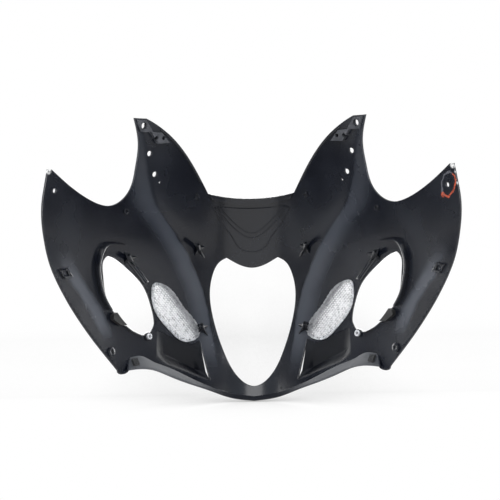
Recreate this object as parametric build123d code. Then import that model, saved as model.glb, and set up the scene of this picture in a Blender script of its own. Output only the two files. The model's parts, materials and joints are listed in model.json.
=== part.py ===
from build123d import *
import math
import os

# Upper fairing of a motorbike. The frame is the bike's: +X to the rider's right, +Y forward, +Z up.
# The origin is on the centre plane, just above the top of the lamp opening. Millimetres.

# Walls and small clearances
wall = 3.0
seat_gap = 0.3
root_depth = wall / 2

# Main curvature of the skin: how far it falls back from the nose
nose_height = -110.0
nose_round = 80.0
rake_above = 0.34
rake_below = 0.42
side_fall = 150.0
side_round = 115.0
wing_fall = 70.0
wing_reach = 320.0
sheet_half = 330.0
tool_reach = 480.0
clear = 1.0
through = 20.0

# Brow ridge from the arm tips down the flanks of the lamp opening
brow_height = 6.0
brow_width = 24.0
brow_round = 12.0
brow_line = [(-160, 76), (-120, 83), (-74, 93), (-27, 109), (23, 130), (70, 160), (114, 170), (190, 176)]

# Fold along the outer edge of each wing
fold_slope = 0.5
fold_round = 12.0
fold_line = [(-200, 222), (-160, 235), (-116, 249), (-81, 261), (-59, 271), (-14, 286), (60, 300)]

# Steps of the screen seat above the lamp opening, each raised a little more on the rider's side
seat_step = 0.8
seat_rim_sag = 3.0
tongue_arc = [(0, -3), (17, 0), (27, 8), (36, 24), (48, 40), (70, 78)]
lower_arc = [(0, 23), (33, 41), (65, 79)]
upper_arc = [(0, 32), (31, 49), (60, 80)]

# Lip along the screen edge
screen_edge_low = 94.0
screen_edge_sag = 8.0
screen_edge_half = 77.0
lip_width = 9.0
lip_inset = 2.0
lip_slant = 3.0
lip_height = 3.4

# Troughs under the intake mouths: upper edge, crease and lower edge at each station, with the crease's depth
trough_stations = [
    ((98, -163), (87, -220), (80, -236), 0.8),
    ((112, -170), (97, -212), (91, -231), 18.0),
    ((160, -143), (150, -179), (150, -199), 13.0),
    ((177, -131), (173, -166), (173, -186), 1.0),
]
trough_margin = 4.0
trough_floor = 3.6
trough_open = 1.0

# Lower return flange, given by its fold on the skin and its free edge
flange_fold = [(206, -176), (193, -176), (176, -187), (153, -201), (119, -223), (82, -245.5), (40, -263), (0, -270)]
flange_edge = [(206, -195), (191, -196), (172, -201), (147, -216), (112, -236), (78, -253), (42, -269), (0, -276)]
flange_lap = 2.0

# Moulded posts and bosses
post_length = 34.0
side_post_length = 26.0
post_radius = 4.2
post_lean = 20.0
post_root = 9.0
pilot_radius = 1.6
pilot_depth = 14.0
gusset_reach = 9.0
gusset_height = 13.0
gusset_thick = 2.4
post_block = 60.0
post_room = 120.0
lamp_posts = [(96, 0), (93, -145)]
side_post = (203, -14)
ring_radius = 5.0
ring_hole_radius = 2.6
ring_height = 3.0
screen_ring = (97, 97)
notch_ring = (206, 67)
low_ring_radius = 7.5
pip_radius = 1.5
pip_height = 2.0
chin_pip = (49, -254)

# Holes through the skin
arm_holes = [(175, 206), (168, 163), (162, 130)]
arm_hole_radius = 4.5
arm_pilot = (155, 117)
arm_pilot_radius = 1.8
wing_hole = (287, 91)
wing_hole_radius = 3.6
low_hole = (232, -162)
low_hole_radius = 3.0

# Rim, rail and lips beside the side lamp opening
rim_line = [(213, 13), (225, 15), (235, 13), (243, 0), (248, -24), (247, -48), (243, -72), (235, -94)]
rim_width = 2.6
rim_height = 9.0
rail_line = [(207, -11), (194, -33), (183, -53)]
rail_width = 7.5
rail_height = 2.5
edge_lip_line = [(215, -123), (205, -134), (192, -143)]
edge_lip_width = 2.2
edge_lip_height = 3.5
arm_lip_line = [(89, 121), (108, 157), (134, 190), (150, 203)]
arm_lip_width = 2.4
arm_lip_height = 2.5

# Slotted seat at the wing edge
slot_seat = (283, -31)
slot_seat_turn = 70.0
slot_seat_size = (15.0, 9.0, 3.0)
slot_size = (8.0, 3.4)

# Intake mesh
mesh_thick = 1.4
mesh_hem = 3.2
mesh_middle = (138, -108)
mesh_rows = 12
mesh_columns = 7
gap_whole = 0.98
mouth_margin = 5.0
cell_long = 15.0
cell_short = 8.4
cell_fill = 0.78
cell_turn = 28.0

# Collar beside the side lamp opening and the boss it sits on
collar_place = (182, -146)
collar_radius = 5.2
collar_bore_radius = 2.6
collar_height = 3.0
boss_radius = 7.0
boss_height = 3.0

# Bracket in the arm tip
bracket_pad = [(184, 214), (171, 216), (162, 198), (180, 196)]
bracket_plate = [(167, 198), (151, 199), (140, 184), (158, 181)]
bracket_pad_thick = 3.0
bracket_plate_thick = 7.0
bracket_clear_radius = 6.0
bracket_bores = [(160, 190), (149.5, 191)]
bracket_bore_radius = 3.3

# Rubber and foam pads
lamp_pad_place = (222, -110)
lamp_pad_size = (26.0, 16.0, 8.0)
lamp_pad_turn = 48.0
foam_size = (11.0, 12.0, 4.0)
foam_gap = 1.1


def rise(start, width, t):
    """Goes smoothly from 0 to 1 as t passes from start over width."""
    u = min(1.0, max(0.0, (t - start) / width))
    return u * u * (3 - 2 * u)


def bend(t, radius):
    """A rounded hinge: 0 before it and t after it."""
    return (math.hypot(t, radius) + t) / 2


def follow(line, height):
    """Reads a smooth line given as (height, x) pairs: its x and its slope at a height."""
    last = len(line) - 2
    k = 0
    while k < last and height > line[k + 1][0]:
        k += 1
    h0, x0 = line[k]
    h1, x1 = line[k + 1]
    before = line[max(k - 1, 0)]
    after = line[min(k + 2, last + 1)]
    m0 = (x1 - before[1]) / (h1 - before[0])
    m1 = (after[1] - x0) / (after[0] - h0)
    span = h1 - h0
    u = (height - h0) / span
    if u < 0:
        return x0 + m0 * u * span, m0
    if u > 1:
        return x1 + m1 * (u - 1) * span, m1
    x = (2 * u**3 - 3 * u**2 + 1) * x0 + (u**3 - 2 * u**2 + u) * span * m0
    x += (3 * u**2 - 2 * u**3) * x1 + (u**3 - u**2) * span * m1
    slope = (6 * u**2 - 6 * u) * (x0 - x1) / span + (3 * u**2 - 4 * u + 1) * m0 + (3 * u**2 - 2 * u) * m1
    return x, slope


def body_form(x, z):
    """The skin without its creases: a raked bow with sides that fall back to the wings."""
    rake = rake_above if z > nose_height else rake_below
    y = -rake * (math.hypot(z - nose_height, nose_round) - nose_round)
    y -= side_fall * (math.hypot(1, x / side_round) - 1)
    return y - wing_fall * (x / wing_reach) ** 4


def brow(x, z):
    """The ridge that runs from the arm tip down beside the lamp opening."""
    line_x, slope = follow(brow_line, z)
    d = (x - line_x) / math.hypot(1, slope)
    ridge = brow_height * math.exp(-(math.hypot(d, brow_round) - brow_round) / brow_width)
    return ridge * rise(-165, 60, z)


def wing_fold(x, z):
    """Outboard of the fold the wing turns further back towards the rider."""
    line_x, slope = follow(fold_line, z)
    d = (x - line_x) / math.hypot(1, slope)
    return -fold_slope * bend(d, fold_round) * (1 - rise(-30, 60, z))


def skin(x, z):
    """Forward place of the skin's inner face."""
    x = abs(x)
    return body_form(x, z) + brow(x, z) + wing_fold(x, z)


def normal(x, z):
    """Unit normal of the skin, pointing out of the cowl."""
    h = 0.5
    dx = (skin(x + h, z) - skin(x - h, z)) / (2 * h)
    dz = (skin(x, z + h) - skin(x, z - h)) / (2 * h)
    return Vector(-dx, 1, -dz).normalized()


def on_skin(x, z, out=0.0):
    """A point of the skin, moved out along its normal."""
    return Vector(x, skin(x, z), z) + normal(x, z) * out


def spaced(stops):
    """Coordinates from a list of (end, pitch) stretches."""
    places = [stops[0][0]]
    for end, pitch in stops[1:]:
        count = max(1, round((end - places[-1]) / pitch))
        start = places[-1]
        places += [start + (end - start) * (i + 1) / count for i in range(count)]
    return places


def sheet(out):
    """The whole skin as one smooth face, lofted through level sections and moved out along its normal."""
    half_x = spaced([(0, 0), (70, 17.5), (190, 12.0), (sheet_half, 20.0)])
    all_x = [-x for x in reversed(half_x[1:])] + half_x
    all_z = spaced([(-300, 0), (240, 27.0)])
    marks = [(x + sheet_half) / (2 * sheet_half) for x in all_x]
    sections = []
    for z in all_z:
        points = [on_skin(x, z, out) for x in all_x]
        sections.append(Wire([Edge.make_spline(points, parameters=marks)]))
    return Shell.make_loft(sections, ruled=False).faces()[0]


def prism(outline):
    """A tool through the cowl, front to back, from a closed outline drawn in X and Z."""
    face = Plane.XZ * make_face(outline)
    return extrude(face, amount=tool_reach, both=True)


def strip(line, width):
    """A tool through the cowl over a band of even width along a smooth line."""
    return extrude(Plane.XZ * trace(Spline(*line), line_width=width), amount=tool_reach, both=True)


def right_half():
    """A tool over everything on the rider's right."""
    return Pos(tool_reach / 2, 0, 0) * Box(tool_reach, 2 * tool_reach, 2 * tool_reach)


def patches(face, tool):
    """The parts of a face inside a tool."""
    return (face & tool).faces()


def raised(face, tool, height):
    """Solids of even height on a face, towards the rider, over the area of a tool."""
    return [Solid.thicken(patch, height, normal_override=(0, -1, 0)) for patch in patches(face, tool)]


def rod_at(place, radius, start, end):
    """A rod along the skin's normal, from start to end counted outward."""
    axis = normal(*place)
    frame = Plane(on_skin(*place) + axis * start, z_dir=axis)
    rod = Cylinder(radius, end - start, align=(Align.CENTER, Align.CENTER, Align.MIN))
    return frame * rod


# Outlines as seen along the bike, right-hand side, in X and Z
def cowl_outline():
    """The moulding's edge without the return flange, closed across the centre plane."""
    corner = (screen_edge_half, screen_edge_low + screen_edge_sag)
    screen = ThreePointArc((-corner[0], corner[1]), (0, screen_edge_low), corner)
    arm_inner = Spline(corner, (106, 159), (134, 195), (169, 218), tangents=((0.43, 0.9), (0.92, 0.4)))
    arm_tip = Line((169, 218), (186, 216))
    arm_outer = Spline((186, 216), (182, 179), (188, 137), (201, 95), (226, 74), (257, 87), (288, 121))
    wing_tip = Line((288, 121), (294, 119))
    wing = Spline((294, 119), (300, 80), (301.5, 35), (297, -13), (275, -89), (250, -144), (222, -193))
    lobe = ThreePointArc((222, -193), (213, -201), (207, -190))
    fold = [(x, z - flange_lap) for x, z in flange_fold]
    step = Line((207, -190), fold[0])
    chin = Spline(*fold, tangents=((-1, 0), (-1, 0)))
    half = [arm_inner, arm_tip, arm_outer, wing_tip, wing, lobe, step, chin]
    return [screen] + half + [mirror(edge, about=Plane.YZ) for edge in half]


def lamp_outline():
    """The egg-shaped lamp opening with its notched top."""
    tip = (47.6, -14)
    notch = Spline((0, -33.5), (23, -28), tip, tangents=((1, 0), (0.9, 0.55)))
    points = [(60, -21), (73, -43), (79.6, -85), (74.6, -125), (55, -189), (31, -233), (0, -252)]
    flank = Spline(tip, *points, tangents=((0.85, -0.35), (-1, 0)))
    return [notch, flank, mirror(notch, about=Plane.YZ), mirror(flank, about=Plane.YZ)]


def side_outline():
    """The side lamp opening."""
    outer = [(233, -6), (240, -36), (237, -74), (224, -107), (200, -136), (182, -143), (171, -126)]
    inner = [(171, -126), (176, -92), (184, -64), (208, -28), (233, -6)]
    return [Spline(*outer, tangents=((0.75, -0.6), (-0.2, 1))), Spline(*inner, tangents=((0, 1), (0.85, 0.3)))]


def mesh_outline():
    """The intake mesh."""
    corners = [(170, -54), (154, -60), (128, -98), (104, -134), (101, -156), (119, -164), (148, -142), (168, -112)]
    return Spline(*corners, (176, -76), periodic=True)


# Shell
def seat_plate(arc):
    """Area of one step of the screen seat, from its curved lower edge up to a rim below the screen edge."""
    end = arc[-1]
    low = Spline(*[(-x, z) for x, z in reversed(arc[1:])], *arc)
    return [low, ThreePointArc(end, (0, end[1] - seat_rim_sag), (-end[0], end[1]))]


def screen_lip():
    """Area of the lip along the screen edge, drawn a little inside the edge itself."""
    end = screen_edge_half - lip_inset
    edge = screen_edge_low - clear
    high = edge + screen_edge_sag
    upper = ThreePointArc((-end, high), (0, edge), (end, high))
    lower = ThreePointArc((end - lip_slant, high - lip_width), (0, edge - lip_width), (lip_slant - end, high - lip_width))
    right = Line((end, high), (end - lip_slant, high - lip_width))
    left = Line((lip_slant - end, high - lip_width), (-end, high))
    return [upper, right, lower, left]


def trough_body(margin, deeper, lift):
    """The trough's wedge through its stations, grown by a margin and made deeper; lift moves its mouth out."""
    first = trough_stations[0]
    last = trough_stations[-1]
    sections = []
    for station in trough_stations:
        upper, crease, lower, depth = station
        grow_x = -margin if station is first else margin if station is last else 0
        corners = []
        for place, out, side in ((upper, lift, 1), (crease, depth + deeper, 0), (lower, lift, -1)):
            corners.append(on_skin(place[0] + grow_x, place[1] + side * margin, out))
        sections.append(make_face(Polyline(*corners, close=True)))
    return loft(sections, ruled=True)


def flange_section(fold, edge):
    """Corners of the flange's section, from the fold on the skin to the free edge."""
    top = on_skin(*fold)
    run = math.hypot(edge[0] - fold[0], edge[1] - fold[1])
    free = Vector(edge[0], top.Y - run, edge[1])
    down = (free - top).normalized()
    out = normal(*fold)
    out = (out - down * out.dot(down)).normalized()
    top = top - down * root_depth
    return [top, free, free + out * wall, top + out * wall]


def flange():
    """Right half of the return flange with its upright end wall."""
    sections = [flange_section(*pair) for pair in zip(flange_fold, flange_edge)]
    strip_solid = loft([make_face(Polyline(*corners, close=True)) for corners in sections])
    fold = flange_fold[0]
    edge = flange_edge[0]
    free = sections[0][1]
    low = on_skin(edge[0], edge[1], root_depth)
    high = on_skin(fold[0], fold[1] + root_depth, root_depth)
    end_wall = extrude(make_face(Polyline(high, free, low, close=True)), amount=wall, dir=(1, 0, 0))
    return [strip_solid, end_wall]


def lean_axis():
    """The posts' common direction, towards the rider and a little up."""
    lean = math.radians(post_lean)
    return Vector(0, -math.cos(lean), math.sin(lean))


def post(place, length):
    """A leaning screw post with four gussets, its root buried below the skin."""
    frame = Plane(on_skin(*place) - lean_axis() * post_root, x_dir=(1, 0, 0), z_dir=lean_axis())
    solid = Cylinder(post_radius, length + post_root, align=(Align.CENTER, Align.CENTER, Align.MIN))
    wide = gusset_reach + post_radius
    height = post_root + gusset_height
    outline = Polyline((-wide, 0), (wide, 0), (wide, post_root), (post_radius, height), (-post_radius, height),
                       (-wide, post_root), close=True)
    for turn in (45, 135):
        rib = extrude(Plane.XZ * make_face(outline), amount=gusset_thick / 2, both=True)
        solid += Rot(0, 0, turn) * rib
    return frame * solid


def pilot(place, length):
    """The blind screw hole in a post's tip."""
    frame = Plane(on_skin(*place) + lean_axis() * (length - pilot_depth), z_dir=lean_axis())
    return frame * Cylinder(pilot_radius, pilot_depth + clear, align=(Align.CENTER, Align.CENTER, Align.MIN))


def seated_posts(core_face):
    """All right-hand posts, cut off inside the wall they grow from."""
    seated = []
    for place, length in [(lamp_posts[0], post_length), (lamp_posts[1], post_length), (side_post, side_post_length)]:
        block = Plane(on_skin(*place)) * Box(post_block, 2 * post_room, post_block)
        for patch in patches(core_face, block):
            seated.append(post(place, length) & Solid.extrude(patch, Vector(0, -post_room, 0)))
    return seated


def slotted_seat(core_face):
    """Raised seat with a slot at the wing edge."""
    frame = Plane(on_skin(*slot_seat), x_dir=(1, 0, 0), z_dir=(0, -1, 0)) * Rot(0, 0, slot_seat_turn)
    area = frame * Box(slot_seat_size[0], slot_seat_size[1], tool_reach)
    slot = frame * Box(slot_size[0], slot_size[1], tool_reach)
    solids = raised(core_face, area, root_depth + slot_seat_size[2])
    return [solid - slot for solid in solids]


def ring(place, radius, hole, height):
    """A round boss with a hole, standing on the inner face."""
    return rod_at(place, radius, -height, root_depth) - rod_at(place, hole, -height - clear, 0)


def wall_tool():
    """A tool over the right half of the skin, with all its large openings left out."""
    mouth = extrude(Plane.XZ * offset(make_face(mesh_outline()), amount=-mouth_margin), amount=tool_reach, both=True)
    return (prism(cowl_outline()) & right_half()) - prism(lamp_outline()) - prism(side_outline()) - mouth


def seat_solids(core_face):
    """Right half of the screen edge's lip and of the steps of the screen seat."""
    solids = raised(core_face, prism(screen_lip()) & right_half(), root_depth + lip_height)
    for step, arc in enumerate((tongue_arc, lower_arc, upper_arc), start=1):
        solids += raised(core_face, prism(seat_plate(arc)) & right_half(), root_depth + step * seat_step)
    return solids


def raised_lines(core_face):
    """Rim, rail and lips along the openings and the arm."""
    solids = raised(core_face, strip(rim_line, rim_width), root_depth + rim_height)
    solids += raised(core_face, strip(rail_line, rail_width), root_depth + rail_height)
    solids += raised(core_face, strip(edge_lip_line, edge_lip_width), root_depth + edge_lip_height)
    return solids + raised(core_face, strip(arm_lip_line, arm_lip_width), root_depth + arm_lip_height)


def bosses():
    """Ring bosses, the collar's boss and the chin's pip."""
    return [
        ring(screen_ring, ring_radius, ring_hole_radius, ring_height),
        ring(notch_ring, ring_radius, ring_hole_radius, ring_height),
        ring(low_hole, low_ring_radius, low_hole_radius, ring_height),
        rod_at(chin_pip, pip_radius, -pip_height, root_depth),
        rod_at(collar_place, boss_radius, -boss_height, wall),
    ]


def shell_holes():
    """Everything cut from the right half: trough, through holes and blind pilots."""
    holes = [trough_body(0, 0, -trough_open), rod_at(collar_place, pilot_radius, -boss_height - clear, clear)]
    holes += [rod_at(place, arm_hole_radius, -through, through) for place in arm_holes]
    holes += [rod_at(arm_pilot, arm_pilot_radius, -through, through), rod_at(wing_hole, wing_hole_radius, -through, through)]
    holes += [rod_at(low_hole, low_hole_radius, -through, through), pilot(side_post, side_post_length)]
    return holes + [pilot(place, post_length) for place in lamp_posts]


def cowl_shell(core_face):
    """The moulding, built as its right half and mirrored."""
    half = Solid.thicken(patches(sheet(0), wall_tool())[0], wall, normal_override=(0, 1, 0))
    added = [trough_body(trough_margin, trough_floor, root_depth)] + flange() + seat_solids(core_face)
    added += raised_lines(core_face) + bosses() + seated_posts(core_face) + slotted_seat(core_face)
    half = half.fuse(*added).cut(*shell_holes())
    return half.fuse(mirror(half, about=Plane.YZ))


# Small pieces, right-hand side
def mesh_gaps(field):
    """Tools for the rhombic gaps that lie fully inside the hem."""
    long_half = cell_long * cell_fill / 2
    short_half = cell_short * cell_fill / 2
    gap = Polyline((-long_half, 0), (0, -short_half), (long_half, 0), (0, short_half), close=True)
    tools = []
    for row in range(-mesh_rows, mesh_rows + 1):
        for column in range(-mesh_columns, mesh_columns + 1):
            shift = Pos((column + (row % 2) / 2) * cell_long, row * cell_short / 2)
            cell = Pos(*mesh_middle) * Rot(0, 0, cell_turn) * shift * make_face(gap)
            if (cell & field).area > gap_whole * cell.area:
                tools.append(extrude(Plane.XZ * cell, amount=tool_reach, both=True))
    return tools


def intake_mesh(seat_face):
    """Wire mesh with a folded hem, lying on the inner face over the intake mouth."""
    outline = make_face(mesh_outline())
    field = offset(outline, amount=-mesh_hem)
    area = extrude(Plane.XZ * outline, amount=tool_reach, both=True)
    net = raised(seat_face, area, mesh_thick)[0]
    return net.cut(*mesh_gaps(field))


def arm_bracket(seat_face):
    """Stepped plate inside the arm tip: a pad round the top hole and a thicker plate with two bores."""
    pad = raised(seat_face, prism(Polyline(*bracket_pad, close=True)), bracket_pad_thick)[0]
    plate = raised(seat_face, prism(Polyline(*bracket_plate, close=True)), bracket_plate_thick)[0]
    bracket = pad.fuse(plate).cut(rod_at(arm_holes[0], bracket_clear_radius, -through, through))
    axis = normal(*bracket_bores[0])
    for place in bracket_bores:
        frame = Plane(on_skin(*place), z_dir=axis)
        bracket = bracket.cut(frame * Cylinder(bracket_bore_radius, 2 * through))
    return bracket


def lamp_collar():
    """Metal ring on its boss beside the side lamp opening."""
    start = -boss_height - seat_gap - collar_height
    outer = rod_at(collar_place, collar_radius, start, start + collar_height)
    return outer - rod_at(collar_place, collar_bore_radius, start - clear, start + collar_height + clear)


def lamp_pad(seat_face):
    """Rubber pad over the lower edge of the side lamp opening."""
    block = SlotOverall(lamp_pad_size[0], lamp_pad_size[1])
    area = Pos(*lamp_pad_place) * Rot(0, 0, lamp_pad_turn) * block
    tool = extrude(Plane.XZ * area, amount=tool_reach, both=True) - prism(side_outline())
    return raised(seat_face, tool, lamp_pad_size[2])[0]


def flange_pad():
    """Foam pad on the rider's side of the return flange's level outer end."""
    inner, outer = [Vector(*flange_section(*pair)[0]) for pair in zip(flange_fold[1::-1], flange_edge[1::-1])]
    free = [Vector(*flange_section(*pair)[1]) for pair in zip(flange_fold[1::-1], flange_edge[1::-1])]
    along = (outer + free[1] - inner - free[0]).normalized()
    down = (free[0] + free[1] - inner - outer).normalized()
    out = along.cross(down).normalized()
    if out.Y < 0:
        out = out * -1
    middle = (inner + outer + free[0] + free[1]) * 0.25 - out * (foam_gap + foam_size[2] / 2)
    return Plane(middle, x_dir=along, z_dir=out) * Box(*foam_size)


def main():
    os.makedirs("parts", exist_ok=True)
    core_face = sheet(root_depth)
    seat_face = sheet(-seat_gap)
    export_step(cowl_shell(core_face), "parts/cowl_shell.step")
    right_pieces = {
        "intake_mesh": intake_mesh(seat_face),
        "arm_bracket": arm_bracket(seat_face),
        "lamp_collar": lamp_collar(),
        "lamp_pad": lamp_pad(seat_face),
        "flange_pad": flange_pad(),
    }
    for name, solid in right_pieces.items():
        export_step(solid, "parts/" + name + "_right.step")
        export_step(mirror(solid, about=Plane.YZ), "parts/" + name + "_left.step")


main()
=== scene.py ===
import bpy
import json
import math
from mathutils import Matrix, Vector

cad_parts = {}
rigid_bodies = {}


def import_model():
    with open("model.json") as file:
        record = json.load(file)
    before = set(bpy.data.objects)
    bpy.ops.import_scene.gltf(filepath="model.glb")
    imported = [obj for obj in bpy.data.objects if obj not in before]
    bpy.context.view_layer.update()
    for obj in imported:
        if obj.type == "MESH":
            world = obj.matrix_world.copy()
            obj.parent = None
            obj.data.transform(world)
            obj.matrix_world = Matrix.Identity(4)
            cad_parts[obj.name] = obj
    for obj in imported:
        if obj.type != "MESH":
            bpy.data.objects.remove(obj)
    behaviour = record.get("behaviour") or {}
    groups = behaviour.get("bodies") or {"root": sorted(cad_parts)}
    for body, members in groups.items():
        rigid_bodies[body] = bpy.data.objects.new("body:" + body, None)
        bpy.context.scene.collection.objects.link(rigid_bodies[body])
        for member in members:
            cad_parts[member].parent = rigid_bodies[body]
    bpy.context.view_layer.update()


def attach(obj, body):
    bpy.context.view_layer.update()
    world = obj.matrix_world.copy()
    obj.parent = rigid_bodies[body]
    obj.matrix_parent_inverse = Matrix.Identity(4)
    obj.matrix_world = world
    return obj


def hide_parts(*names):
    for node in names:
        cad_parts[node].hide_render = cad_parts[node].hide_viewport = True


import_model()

mm = 0.001


# the skin's own form, the same curves the solids are made from, in millimetres

skinForm = {
    "noseHeight": -110, "noseRound": 80, "rakeAbove": 0.34, "rakeBelow": 0.42,
    "sideFall": 150, "sideRound": 115, "wingFall": 70, "wingReach": 320,
    "browHeight": 6, "browWidth": 24, "browRound": 4,
    "browLine": [(-160, 76), (-120, 83), (-74, 93), (-27, 109), (23, 130), (70, 160), (114, 170),
                 (190, 176)],
    "browFrom": -165, "browOver": 60,
    "foldSlope": 0.5, "foldRound": 12, "foldGoneFrom": -30, "foldGoneOver": 60,
    "foldLine": [(-200, 222), (-160, 235), (-116, 249), (-81, 261), (-59, 271), (-14, 286), (60, 300)],
    "wall": 3.0,
}


def rise(start, width, t):  # from 0 at start to 1 after width, smoothly
    u = min(1.0, max(0.0, (t - start) / width))
    return u * u * (3 - 2 * u)


def between(u, a, wayA, b, wayB):  # a cubic from a to b that leaves and arrives with the two headings
    near = a * (2 * u**3 - 3 * u**2 + 1) + wayA * (u**3 - 2 * u**2 + u)
    return near + b * (3 * u**2 - 2 * u**3) + wayB * (u**3 - u**2)


def follow(line, height):  # x and slope of a smooth line given as (height, x)
    last = len(line) - 2
    k = 0
    while k < last and height > line[k + 1][0]:
        k += 1
    h0, x0 = line[k]
    h1, x1 = line[k + 1]
    before = line[max(k - 1, 0)]
    after = line[min(k + 2, last + 1)]
    m0 = (x1 - before[1]) / (h1 - before[0])
    m1 = (after[1] - x0) / (after[0] - h0)
    span = h1 - h0
    u = (height - h0) / span
    if u < 0:
        return x0 + m0 * u * span, m0
    if u > 1:
        return x1 + m1 * (u - 1) * span, m1
    slope = (6 * u**2 - 6 * u) * (x0 - x1) / span
    slope += (3 * u**2 - 4 * u + 1) * m0 + (3 * u**2 - 2 * u) * m1
    return between(u, x0, span * m0, x1, span * m1), slope


def skinY(x, z):  # the inner face's depth behind a place in the drawing plane
    f = skinForm
    x = abs(x)
    rake = f["rakeAbove"] if z > f["noseHeight"] else f["rakeBelow"]
    y = -rake * (math.hypot(z - f["noseHeight"], f["noseRound"]) - f["noseRound"])
    y -= f["sideFall"] * (math.hypot(1, x / f["sideRound"]) - 1)
    y -= f["wingFall"] * (x / f["wingReach"]) ** 4
    lineX, slope = follow(f["browLine"], z)
    away = (x - lineX) / math.hypot(1, slope)
    fall = (math.hypot(away, f["browRound"]) - f["browRound"]) / f["browWidth"]
    y += f["browHeight"] * math.exp(-fall) * rise(f["browFrom"], f["browOver"], z)
    lineX, slope = follow(f["foldLine"], z)
    away = (x - lineX) / math.hypot(1, slope)
    bend = f["foldSlope"] * (math.hypot(away, f["foldRound"]) + away) / 2
    y -= bend * (1 - rise(f["foldGoneFrom"], f["foldGoneOver"], z))
    return y


def skinNormal(x, z):
    dx = skinY(x + 0.5, z) - skinY(x - 0.5, z)
    dz = skinY(x, z + 0.5) - skinY(x, z - 0.5)
    return Vector((-dx, 1, -dz)).normalized()


def onSkin(x, z, out=0.0):  # a place on the skin in metres, moved out along its normal
    return (Vector((x, skinY(x, z), z)) + skinNormal(x, z) * out) * mm


# small tools used for every piece

tools = {"lineStep": 3.0, "cutReach": 8.0, "weld": 0.02, "bevelSteps": 2, "bevelFrom": 50,
         "ridgeRoot": 1.5, "ridgeDraft": 0.3}


def deselect():
    if bpy.context.mode != "OBJECT":
        bpy.ops.object.mode_set(mode="OBJECT")
    bpy.ops.object.select_all(action="DESELECT")


def pick(obj):
    deselect()
    obj.select_set(True)
    bpy.context.view_layer.objects.active = obj


def editAll():
    bpy.ops.object.mode_set(mode="EDIT")
    bpy.ops.mesh.select_all(action="SELECT")


def extrude(way):
    bpy.ops.mesh.extrude_region_move(TRANSFORM_OT_translate={"value": way})


def turnOutwards():  # all faces of the mesh in edit mode
    bpy.ops.mesh.select_all(action="SELECT")
    bpy.ops.mesh.normals_make_consistent(inside=False)


def chooseFaces(obj, wanted):  # leaves edit mode open with exactly those faces selected
    pick(obj)
    bpy.ops.object.mode_set(mode="EDIT")
    bpy.ops.mesh.select_all(action="DESELECT")
    bpy.ops.object.mode_set(mode="OBJECT")
    for face in obj.data.polygons:
        face.select = wanted(face)
    bpy.ops.object.mode_set(mode="EDIT")


def chooseTop(obj):
    chooseFaces(obj, lambda face: face.normal.z > 0.9)


def smoothLine(points, startWay=None, endWay=None):  # a cubic spline, read off in steps
    pts = [Vector(p) for p in points]
    n = len(pts)
    t = [0.0]
    for a, b in zip(pts, pts[1:]):
        t.append(t[-1] + max((b - a).length, 1e-6))
    h = [t[i + 1] - t[i] for i in range(n - 1)]
    slopes = [(pts[i + 1] - pts[i]) / h[i] for i in range(n - 1)]
    low = [0.0] * n
    mid = [1.0] * n
    up = [0.0] * n
    rhs = [Vector(pts[0]) * 0 for _ in range(n)]
    if startWay is None:
        mid[0], up[0], rhs[0] = 2.0, 1.0, slopes[0] * 3
    else:
        rhs[0] = Vector(startWay).normalized()
    if endWay is None:
        mid[-1], low[-1], rhs[-1] = 2.0, 1.0, slopes[-1] * 3
    else:
        rhs[-1] = Vector(endWay).normalized()
    for i in range(1, n - 1):
        low[i], mid[i], up[i] = h[i], 2 * (h[i - 1] + h[i]), h[i - 1]
        rhs[i] = (slopes[i - 1] * h[i] + slopes[i] * h[i - 1]) * 3
    for i in range(1, n):
        w = low[i] / mid[i - 1]
        mid[i] -= w * up[i - 1]
        rhs[i] = rhs[i] - rhs[i - 1] * w
    m = [None] * n
    m[-1] = rhs[-1] / mid[-1]
    for i in range(n - 2, -1, -1):
        m[i] = (rhs[i] - m[i + 1] * up[i]) / mid[i]
    out = []
    for i in range(n - 1):
        cuts = max(1, round(h[i] / tools["lineStep"]))
        for k in range(cuts):
            out.append(between(k / cuts, pts[i], m[i] * h[i], pts[i + 1], m[i + 1] * h[i]))
    out.append(pts[-1])
    return out


def nearest(line, place):
    return min(range(len(line)), key=lambda i: (line[i] - place).length)


def closedLine(points):  # runs past its start and end, then is cut where it passes the first point
    whole = smoothLine(points[-3:] + points + points[:4])
    half = len(whole) // 2
    first = nearest(whole[:half], Vector(points[0]))
    last = half + nearest(whole[half:], Vector(points[0]))
    return whole[first:last]


def mirrored(line):
    return [Vector((-p[0], p[1])) for p in reversed(line)]


def cutter(outline):  # a flat-ended block with the outline as its plan
    deselect()
    bpy.ops.mesh.primitive_circle_add(vertices=len(outline), radius=1, fill_type="NGON")
    obj = bpy.context.object
    for v, p in zip(obj.data.vertices, outline):
        v.co = (p[0], p[1], -tools["cutReach"])
    editAll()
    extrude((0, 0, 2 * tools["cutReach"]))
    turnOutwards()
    deselect()
    return obj


def cutWith(obj, tool, operation):
    pick(obj)
    mod = obj.modifiers.new("cut", "BOOLEAN")
    mod.operation = operation
    mod.object = tool
    mod.solver = "EXACT"
    bpy.ops.object.modifier_apply(modifier=mod.name)
    deselect()
    bpy.data.objects.remove(tool)


def joined(objs, name):
    deselect()
    for o in objs:
        o.select_set(True)
    bpy.context.view_layer.objects.active = objs[0]
    if len(objs) > 1:
        bpy.ops.object.join()
    objs[0].name = name
    deselect()
    return objs[0]


def boxRound(outline, spare):
    xs = [p[0] for p in outline]
    zs = [p[1] for p in outline]
    return min(xs) - spare, max(xs) + spare, min(zs) - spare, max(zs) + spare


def flatSlab(name, box, pitch):  # a flat board of square cells, one unit thick, in the drawing plane
    x0, x1, z0, z1 = box
    deselect()
    across = max(1, round((x1 - x0) / pitch))
    along = max(1, round((z1 - z0) / pitch))
    bpy.ops.mesh.primitive_grid_add(x_subdivisions=across, y_subdivisions=along, size=1)
    obj = bpy.context.object
    obj.name = name
    editAll()
    bpy.ops.transform.resize(value=(x1 - x0, z1 - z0, 1))
    bpy.ops.transform.translate(value=((x0 + x1) / 2, (z0 + z1) / 2, 0))
    extrude((0, 0, 1))
    turnOutwards()
    deselect()
    return obj


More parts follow.
